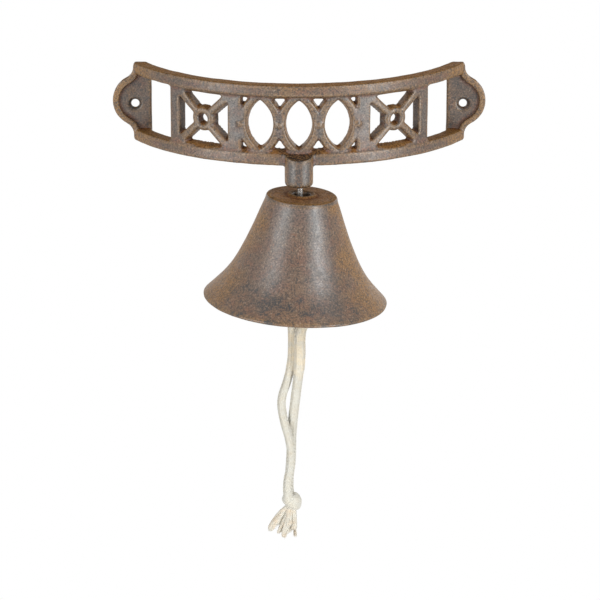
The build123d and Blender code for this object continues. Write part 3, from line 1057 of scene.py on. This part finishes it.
@dataclass
class HangingBell:
    """The bell: a flared shell that hangs a little askew under the post.

    Attributes:
        relief: the noise of its skin and its patches.
        tilt: how far it leans to the right, in radians.
        crown_middle: the middle of its crown's upper face.
        core_shift: how far its inside sits to the left.
        height: its height.
        sides: how many faces there are round it.
        skin: pairs of wavelength and height that make its cast surface.
        wear: how far its evened copy is spread, and the height over it that counts as fully proud.
        tops: how far up a surface looks where it begins to be a top, and is one in full.
        patches: the sizes of the patches and of the specks in its finish.
        hole_ring: the radius of the painted shade line outside the hole's raised ring.
    """

    relief: Relief
    tilt: float = math.radians(3.6)
    crown_middle: Triple = (1.7, -63.6, -41.386)
    core_shift: float = 0.39
    height: float = 66.2
    sides: int = 340
    skin: tuple[Span, ...] = ((14.0, 0.12), (4.0, 0.04))
    wear: tuple[int, float] = (26, 0.4)
    tops: Span = (0.6, 0.95)
    patches: Span = (11.0, 3.4)
    hole_ring: float = 10.2

    def axes(self) -> tuple[np.ndarray, np.ndarray]:
        """Its own directions to the right and up."""
        right = np.array((math.cos(self.tilt), 0.0, -math.sin(self.tilt)))
        up = np.array((math.sin(self.tilt), 0.0, math.cos(self.tilt)))
        return right, up

    def profile(self) -> tuple[np.ndarray, np.ndarray]:
        """The bell's section: from the hole over the crown and down to the lip, then back up inside.

        Returns:
            Rows of radius and height below the crown, and for each row how far the core's shift moves it.
        """
        outer = [
            np.array([(5.2, -3.4), (5.2, -1.6), (5.2, 0.2), (5.45, 0.6)]),
            np.array([(6.2, 0.72), (7.0, 0.95), (7.8, 1.15), (8.25, 0.95), (8.6, 0.45), (9.1, 0.08)]),
            np.array([(9.8, 0.0), (12.0, 0.0), (14.0, 0.0), (18.0, 0.0)]),
            arc((20.1, -1.6), 1.6, 88, 12, 6),
            np.array([(22.15, -3.4), (23.35, -6.6), (24.8, -10.4), (27.5, -17.8), (30.5, -25.6)]),
            np.array([(33.9, -33.6), (37.5, -41.2), (41.4, -47.9), (45.6, -53.6), (50.7, -59.4)]),
            np.array([(55.6, -64.5)]),
            arc((54.9, -65.1), 1.1, 10, -80, 5),
        ]
        inner = [
            np.array([(53.2, -66.1), (52.0, -65.5), (46.6, -60.4), (40.9, -54.6), (37.0, -48.9)]),
            np.array([(33.4, -42.3), (29.7, -34.6), (26.5, -27.1), (23.2, -18.6), (20.4, -10.8)]),
            np.array([(18.9, -6.9), (17.4, -4.6), (15.0, -3.5), (10.0, -3.4), (6.4, -3.4)]),
        ]
        outside = curve_through(np.vstack(outer), 0.85)
        inside = curve_through(np.vstack(inner), 1.1)
        shift = np.concatenate([np.zeros(len(outside)), np.full(len(inside), -self.core_shift)])
        return np.vstack([outside, inside]), shift

    def shell(self, sides: int) -> Shell:
        """The section turned about the leaning axis: middle + r cos(a) right + r sin(a) back + z up.

        Args:
            sides: how many faces there are round it.

        Returns:
            The bell's shell, closed at its hole.
        """
        profile, shift = self.profile()
        right, up = self.axes()
        turn = np.linspace(0.0, 2 * math.pi, sides, endpoint=False)
        radius = profile[:, 0][:, None]
        points = (np.array(self.crown_middle)
                  + (radius * np.cos(turn) + shift[:, None])[..., None] * right
                  + (radius * np.sin(turn))[..., None] * np.array((0.0, 1.0, 0.0))
                  + profile[:, 1][:, None, None] * up)
        number = np.arange(len(profile) * sides).reshape(len(profile), sides)
        below = np.roll(number, -1, axis=0)
        quads = np.stack([number, np.roll(number, -1, axis=1), np.roll(below, -1, axis=1), below], axis=-1)
        return Shell(points.reshape(-1, 3), quads.reshape(-1, 4)[:, ::-1])

    def build(self) -> bpy.types.Object:
        """Makes the bell.

        Returns:
            The piece.
        """
        casting = link_mesh("bell_casting", self.shell(int(self.sides / coarseness())))
        roughen(casting.data, self.relief, self.skin)
        mark_wear(casting.data, *self.wear)
        self.tint(casting.data)
        tops = smooth_step(mesh_normals(casting.data)[:, 2], *self.tops)
        finishes = finish_casting(casting.data, RustyIron("bell_iron", 0.9), tops)
        dress(casting, Body.BELL, finishes, "bell", "bell")
        return casting

    def tint(self, mesh: bpy.types.Mesh) -> None:
        """Stores where the bell is ochre, dark and painted grey.

        Ochre lies on both flanks: rust, and painted shading where the bell turns away from the front. Soot
        lies low down and in speckles, a dark line lies under the crown's edge, and painted shade lies in the
        hole and round its ring. Grey is painted highlight in bands down the front and painted reflection
        over the upper part. A share is the product of the steps and humps that limit its place.

        Args:
            mesh: the bell's mesh.
        """
        points = mesh_points(mesh)
        normals = mesh_normals(mesh)
        up = self.axes()[1]
        away = points - np.array(self.crown_middle)
        drop = -away @ up
        radius = np.linalg.norm(away + drop[:, None] * up, axis=1)
        level = np.maximum(np.linalg.norm(normals[:, :2], axis=1), 0.05)
        facing = normals[:, 0] / level
        side = np.abs(facing)
        patch = self.relief.sample(points, self.patches[0])
        fine = self.relief.sample(points + 70.0, self.patches[1])

        inside = (away * normals)[:, :2].sum(axis=1) < 0
        # ochre on the flanks: rust, and painted shading where the bell turns away from the front
        ochre = smooth_step(side + 0.16 * patch, 0.66, 1.0) * np.where(inside, 0.35, 1.0)

        low = smooth_step(drop, 0.42 * self.height, 0.92 * self.height)
        left = 1.0 - 0.45 * smooth_step(normals[:, 0], -0.3, 0.6)
        # bore: painted shade inside the hole
        bore = smooth_step(7.6 - radius, 0.0, 0.6) * smooth_step(drop + 1.6, 0.0, 0.6) * (drop < 3.0)
        soot_and_shade = 1.2 * low * smooth_step(patch + 0.7 * fine, -0.2, 0.6) * left * (1.0 - 0.75 * ochre)
        soot_and_shade += 0.3 * smooth_step(fine, 0.3, 0.8) * (1.0 - 0.7 * ochre)
        soot_and_shade += 0.9 * hump(drop, 1.2, 0.6) * smooth_step(radius, 18.0, 20.5)
        # the hole and a line round its raised ring: painted shade
        soot_and_shade += 0.75 * bore + 0.35 * hump(radius, self.hole_ring, 1.3) * (drop < 0.4)

        # grey bands where the two key lamps reflect: painted highlights
        bands = 0.6 * hump(facing, 0.36, 0.17) + 0.4 * hump(facing, -0.36, 0.2)
        bands *= smooth_step(drop, 1.5, 4.0)
        bands *= 1.0 - smooth_step(drop, 0.62 * self.height, 0.9 * self.height)
        # grey over the upper part: painted reflection
        upper = 1.0 - smooth_step(drop, 0.1 * self.height, 0.5 * self.height)
        painted_sheen = bands * (normals[:, 1] < 0) + 0.3 * upper * (side < 0.7) * (drop > 2.0)
        store_layer(mesh, Layer.TINT, [0.85 * ochre * (drop > 2.0), soot_and_shade, painted_sheen])


@dataclass
class Clapper:
    """The drop-shaped clapper with a wire ring at both ends.

    Attributes:
        relief: the noise of its skin and its patches.
        voxel: the size of its faces.
        rounds: how soft its edges are.
        skin: pairs of wavelength and height that make its cast surface.
        wear: how far its evened copy is spread, and the height over it that counts as fully proud.
        patches: the size of the patches in its finish.
    """

    relief: Relief
    voxel: float = 0.42
    rounds: int = 2
    skin: tuple[Span, ...] = ((5.0, 0.1), (2.0, 0.05))
    wear: tuple[int, float] = (20, 0.3)
    patches: float = 6.0

    def build(self, nodes: dict) -> bpy.types.Object:
        """Makes the clapper around its solid.

        Args:
            nodes: the frame's solids by name.

        Returns:
            The piece.
        """
        casting = soft_copy(nodes["clapper"], "clapper_casting", self.voxel * coarseness(), self.rounds)
        roughen(casting.data, self.relief, self.skin)
        mark_wear(casting.data, *self.wear)
        patch = self.relief.sample(mesh_points(casting.data), self.patches)
        ochre, soot_and_shade = 0.5 * smooth_step(patch, 0.0, 0.6), 0.5 * smooth_step(-patch, 0.1, 0.7)
        store_layer(casting.data, Layer.TINT, [ochre, soot_and_shade, np.zeros(len(patch))])
        dress(casting, Body.CLAPPER, [RustyIron("clapper_iron", 0.5).make()], "clapper", "clapper")
        return casting


@dataclass
class WireFittings:
    """The eye that carries the bell, the hook between eye and clapper, and the seat washer.

    Attributes:
        voxel: the size of their faces.
        rounds: how soft their edges are.
    """

    voxel: float = 0.24
    rounds: int = 2

    def build(self, nodes: dict) -> None:
        """Makes the three pieces around their solids.

        Args:
            nodes: the frame's solids by name.
        """
        steel = DrawnSteel("bright_steel").make()
        for node, name, body in (
            ("eye_screw", "eye_wire", Body.WALL_BRACKET),
            ("s_hook", "hook_wire", Body.HOOK),
            ("seat_washer", "washer_plate", Body.WASHER),
        ):
            piece = soft_copy(nodes[node], name, self.voxel, self.rounds)
            dress(piece, body, [steel], node, node)


@dataclass
class PullRope:
    """A doubled rope through the clapper's lower ring, with a knot and two frayed ends.

    Attributes:
        diameter: the rope's stated diameter.
        left_radius: the left strand's radius where it hangs free.
        right_radius: the right strand's.
        turn: the radius of the bend over the ring.
        ring_x: X of the ring's wire.
        ring_y: its Y.
        bar_z: the height of the bend's middle.
        left_route: the points that lead the left strand from the bend to the knot.
        right_route: those of the right strand.
        knot_middle: the knot's middle.
        knot_arc: the angles between which the knot's turn of rope runs, in degrees.
        knot_turn: radius to the right, radius to the back, fall and half thickness of the knot's turn.
        knot_tall: half the turn's height on average, and what is added to it at the right.
        knot_runs: the runs of rope in the knot, as points about its middle and a radius each.
        short_end: the bundles of the short frayed end.
        long_end: the bundles of the long one.
        fibre_spread: how much wider than their bundle the fine fibres spread.
        fibre_count: how many of them there are in a bundle.
        fibre_radius: the radius of one.
    """

    diameter: float = 5.7
    left_radius: float = 2.6
    right_radius: float = 2.95
    turn: float = 4.8
    ring_x: float = 0.6
    ring_y: float = -63.6
    bar_z: float = -118.35
    left_route: tuple = (
        (-4.2, -63.2, -123.5),
        (-3.8, -62.4, -132.0),
        (-4.0, -62.4, -148.0),
        (-7.6, -62.8, -162.0),
        (-11.5, -63.6, -173.0),
        (-9.6, -65.4, -186.0),
        (-5.4, -66.8, -199.5),
        (-4.6, -66.9, -213.0),
        (-7.8, -66.8, -229.0),
        (-6.4, -66.4, -240.0),
    )
    right_route: tuple = (
        (4.4, -63.8, -120.9),
        (0.1, -65.8, -127.5),
        (0.8, -66.4, -146.0),
        (-2.8, -63.6, -176.0),
        (-4.9, -60.6, -198.0),
        (-4.8, -60.3, -213.0),
        (-6.6, -60.5, -228.0),
        (-5.4, -60.9, -240.0),
    )
    knot_middle: Triple = (-4.7, -63.6, -239.3)
    knot_arc: Span = (-215.0, 150.0)
    knot_turn: tuple[float, float, float, float] = (3.3, 3.1, 1.1, 2.95)
    knot_tall: Span = (4.2, 0.9)
    knot_runs: tuple = (
        (((-2.3, -3.0, 8.5), (-2.4, -3.7, 4.5), (-2.2, -3.8, 1.5), (-1.2, -3.0, -1.5)), 2.8),
        (((-1.2, -3.0, 2.2), (1.6, -3.2, 1.7), (3.6, -1.8, 0.4), (3.8, 0.6, -1.4)), 2.7),
        (((-0.6, 0.3, 3.0), (1.8, 0.2, 2.0), (3.3, 0.5, -0.4)), 3.0),
        (((-1.5, 2.9, 8.5), (-2.3, 2.7, 4.0), (-2.2, 2.2, 0.0), (-0.8, 1.2, -5.0)), 2.6),
        (((-0.6, 0.0, 3.5), (-0.6, -0.2, 0.0), (-0.3, -0.4, -4.0), (-0.3, -0.6, -8.2)), 3.6),
    )
    short_end: tuple[Yarns, ...] = (
        Yarns((-6.4, -64.6, -243.2), (-12.6, -65.8, -247.2), (-18.4, -64.8, -259.8), 1.3, 1.7, 9, 0.92),
        Yarns((-6.6, -64.0, -244.8), (-12.0, -64.0, -251.2), (-14.6, -64.2, -256.8), 0.7, 1.2, 6, 0.85),
    )
    long_end: tuple[Yarns, ...] = (
        Yarns((-5.2, -65.6, -242.0), (-6.6, -67.0, -249.0), (-6.6, -66.6, -257.0), 1.6, 1.7, 9, 0.92, 0.5),
        Yarns((-6.0, -64.6, -245.0), (-9.8, -65.8, -252.5), (-13.0, -64.4, -262.0), 0.9, 1.2, 7, 0.92),
        Yarns((-5.6, -65.4, -246.0), (-8.0, -67.0, -254.0), (-9.9, -66.4, -264.0), 1.0, 1.6, 9, 0.92),
        Yarns((-4.8, -64.2, -245.0), (-6.0, -64.0, -254.0), (-6.6, -64.2, -261.6), 1.2, 1.7, 9, 0.92),
        Yarns((-3.8, -64.8, -243.0), (-2.4, -66.2, -251.5), (-3.3, -65.6, -259.6), 1.1, 1.5, 8, 0.92),
        Yarns((-3.6, -63.6, -246.0), (-2.6, -63.8, -255.0), (-2.4, -64.4, -264.4), 0.8, 1.0, 5, 0.3),
    )
    fibre_spread: float = 1.7
    fibre_count: int = 6
    fibre_radius: float = 0.12

    def line(self, name: str, side: int, route: tuple) -> np.ndarray:
        """The smooth line of a strand, read from a spline on its route.

        Args:
            name: a name for the short-lived curve.
            side: -1 for the left strand, 1 for the right one.
            route: its points below the turn over the ring.

        Returns:
            Rows of X, Y and Z in millimetres.
        """
        half_side = self.turn * math.tan(math.pi / 8)
        over = (
            (self.ring_x, self.ring_y, self.bar_z + self.turn),
            (self.ring_x + side * half_side, self.ring_y, self.bar_z + self.turn),
            (self.ring_x + side * self.turn, self.ring_y, self.bar_z + half_side),
        )
        points = over + route
        curve = bpy.data.curves.new(name, "CURVE")
        curve.dimensions = "3D"
        curve.resolution_u = 24
        spline = curve.splines.new("NURBS")
        spline.points.add(len(points) - 1)
        for target, point in zip(spline.points, points):
            target.co = (*(value * MM for value in point), 1.0)
        spline.order_u = 3
        spline.use_endpoint_u = True
        holder = add_object(name, curve)
        mesh = final_mesh(holder)
        line = mesh_points(mesh)
        bpy.data.objects.remove(holder)
        bpy.data.meshes.remove(mesh)
        return line

    def knot(self) -> bpy.types.Object:
        """The knot: a fat turn of rope round both strands, grown into one with them and pressed together.

        The turn is a tilted ring whose section is tallest at the right; the strands, the middle and the
        neck below are tubes; their union is remeshed and evened until the folds are soft.

        Returns:
            The knot.
        """
        right, back, fall, thick = self.knot_turn
        angle = np.radians(np.linspace(*self.knot_arc, 80))
        cos, sin = np.cos(angle), np.sin(angle)
        ring = np.stack([right * cos + 0.1, back * sin, -0.4 - fall * cos], axis=1)
        ring_out = np.stack([cos, sin, np.zeros(len(angle))], axis=1)
        tall = self.knot_tall[0] + self.knot_tall[1] * cos
        ends = round_ends(ring, 2.6)
        shells = [sweep_tubes(ring[None], (tall * ends)[None], (thick * ends)[None], ring_out[None], 20)]
        for points, radius in self.knot_runs:
            run = curve_through(np.array(points), 0.35)
            size = (radius * round_ends(run, radius))[None]
            shells.append(sweep_tubes(run[None], size, size, tube_frames(run)[1][None], 20))
        middle = np.array(self.knot_middle)
        rough = link_mesh("knot_rough", joined([Shell(s.points + middle, s.quads, s.caps) for s in shells]))
        knot = soft_copy(rough, "rope_knot_wrap", 0.3, 5)
        bpy.data.objects.remove(rough)
        return knot

    def frayed(self, name: str, bundles: tuple[Yarns, ...], seed: int) -> bpy.types.Object:
        """A frayed rope end: its yarns, and a few fine fibres that stand off them.

        Args:
            name: the piece's name.
            bundles: the bundles of yarns.
            seed: the same seed gives the same end.

        Returns:
            The end as one object.
        """
        rng = np.random.default_rng(seed)
        shells = [bundle.shell(rng) for bundle in bundles]
        for bundle in bundles:
            fibres = replace(bundle, end_radius=bundle.end_radius * self.fibre_spread,
                             count=self.fibre_count, radius=self.fibre_radius)
            shells.append(fibres.shell(rng, steps=16, sides=4))
        return link_mesh(name, joined(shells))

    def build(self) -> None:
        cotton = SoftCotton("cotton").make()
        knot = self.knot()
        long_end = self.frayed("rope_long_end", self.long_end, 5)
        short_end = self.frayed("rope_short_end", self.short_end, 8)
        yarn = SoftCotton("cotton_yarn", clean=(0.60, 0.575, 0.50), aged=(0.62, 0.53, 0.41)).make()
        for piece in (long_end, short_end):
            dress(piece, Body.ROPE, [yarn], "rope_knot")
        dress(knot, Body.ROPE, [cotton], "rope_knot", "rope_knot")
        left = Braid(self.left_radius, swell=0.3, foot=0.3)
        right = Braid(self.right_radius, swell=0.45, foot=-0.4)
        for name, side, route, braid, pieces in (
            ("rope_left", -1, self.left_route, left, [knot, long_end, short_end]),
            ("rope_right", 1, self.right_route, right, []),
        ):
            line = self.line(f"{name}_line", side, route)
            strand = link_mesh(f"{name}_braid", braid.along(line))
            dress(strand, Body.ROPE, [cotton], name, name)


@dataclass(frozen=True)
class Softbox:
    """A soft rectangular lamp that faces the bell.

    Attributes:
        name: the lamp's name.
        azimuth: degrees to the right of straight ahead.
        elevation: degrees above level.
        distance: metres from the bell.
        size: width and height in metres.
        power: watts.
    """

    name: str
    azimuth: float
    elevation: float
    distance: float
    size: tuple[float, float]
    power: float

    def place(self) -> None:
        """Adds the lamp to the scene."""
        lamp = bpy.data.lights.new(self.name, "AREA")
        lamp.shape = "RECTANGLE"
        lamp.size, lamp.size_y = self.size
        lamp.energy = self.power
        obj = add_object(self.name, lamp)
        turn, rise = math.radians(self.azimuth), math.radians(self.elevation)
        away = Vector((math.sin(turn) * math.cos(rise), -math.cos(turn) * math.cos(rise), math.sin(rise)))
        obj.location = Vector(LAMP_TARGET) + self.distance * away
        obj.rotation_euler = away.to_track_quat("Z", "Y").to_euler()
        obj.visible_camera = False


@dataclass
class Studio:
    """The camera, the lamps, the white surroundings and the floor. Its lengths are in metres.

    Attributes:
        camera_place: where the camera is.
        camera_elevation: how far it looks down, in degrees.
        camera_lens: its lens, in millimetres.
        camera_sensor: its sensor's width, in millimetres.
        camera_clip: the nearest and farthest that it shows.
        world_light: how strongly the surroundings light the object.
        floor_z: the floor's height.
        floor_radius: its radius.
        floor_sides: how many sides it has.
        floor_colour: its colour.
        floor_glow: how much of it is plain white where it is seen.
        softboxes: the lamps.
    """

    camera_place: Triple = (0.00055, -1.7714, 0.4484)
    camera_elevation: float = 18.05
    camera_lens: float = 176.4
    camera_sensor: float = 36.0
    camera_clip: Span = (0.05, 50.0)
    world_light: float = 0.34
    floor_z: float = -1.0
    floor_radius: float = 1.35
    floor_sides: int = 64
    floor_colour: Triple = (0.85, 0.85, 0.84)
    floor_glow: float = 0.5
    softboxes: tuple[Softbox, ...] = (
        Softbox("key_right", 48.0, 12.0, 1.6, (0.30, 2.0), 24.5),
        Softbox("key_left", -50.0, 12.0, 1.6, (0.55, 2.0), 18.0),
        Softbox("fill_low", 0.0, -30.0, 1.4, (0.9, 0.5), 3.2),
        Softbox("back_soft", 170.0, 20.0, 1.6, (1.4, 1.2), 6.0),
    )

    def place_camera(self) -> None:
        """The camera, at the photograph's angle and distance."""
        camera = bpy.data.cameras.new("camera")
        camera.sensor_width = self.camera_sensor
        camera.lens = self.camera_lens
        camera.clip_start, camera.clip_end = self.camera_clip
        obj = add_object("camera", camera)
        obj.location = self.camera_place
        obj.rotation_euler = (math.radians(90.0 - self.camera_elevation), 0.0, 0.0)
        bpy.context.scene.camera = obj

    def white_world(self) -> None:
        """A plain world: white where it is seen or mirrored, and dimmer as a light."""
        world = bpy.data.worlds.new("studio")
        bpy.context.scene.world = world
        world.use_nodes = True
        kit = NodeKit(world.node_tree)
        inputs = {"To Min": self.world_light, "To Max": 1.0, "Value": kit.seen_share()}
        strength = kit.add("MapRange", inputs).outputs["Result"]
        background = kit.add("Background", {"Color": (1.0, 1.0, 1.0), "Strength": strength})
        kit.add("OutputWorld", {"Surface": background.outputs["Background"]})

    def pale_floor(self) -> None:
        """A round pale floor, well below the rope."""
        angles = np.linspace(0.0, 2 * math.pi, self.floor_sides, endpoint=False)
        ring = np.stack([self.floor_radius * np.cos(angles), self.floor_radius * np.sin(angles),
                         np.full(self.floor_sides, self.floor_z)], axis=1)
        mesh = bpy.data.meshes.new("floor")
        mesh.from_pydata(ring.tolist(), [], [list(range(self.floor_sides))])
        floor = add_object("floor", mesh)
        material = bpy.data.materials.new("floor")
        material.use_nodes = True
        kit = NodeKit(material.node_tree)
        matt = kit.add("BsdfDiffuse", {"Color": self.floor_colour}).outputs[0]
        glow = kit.add("Emission").outputs[0]
        share = kit.math("MULTIPLY", kit.seen_share(), self.floor_glow)
        blend = kit.add("MixShader", {"Fac": share, 1: matt, 2: glow}).outputs[0]
        kit.add("OutputMaterial", {"Surface": blend})
        mesh.materials.append(material)

    def light(self) -> None:
        """Adds the surroundings and the lamps."""
        self.white_world()
        self.pale_floor()
        for softbox in self.softboxes:
            softbox.place()


def main() -> None:
    """Builds the whole scene."""
    logging.basicConfig(level=logging.INFO)
    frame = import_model()
    studio = Studio()
    studio.place_camera()
    bpy.context.scene.view_settings.view_transform = "Standard"
    relief = Relief(11)
    nodes = frame["nodes"]
    PullRope().build()
    WireFittings().build(nodes)
    WallBracket(relief).build(nodes)
    HangingBell(relief).build()
    Clapper(relief).build(nodes)
    studio.light()


if __name__ == "__main__":
    main()
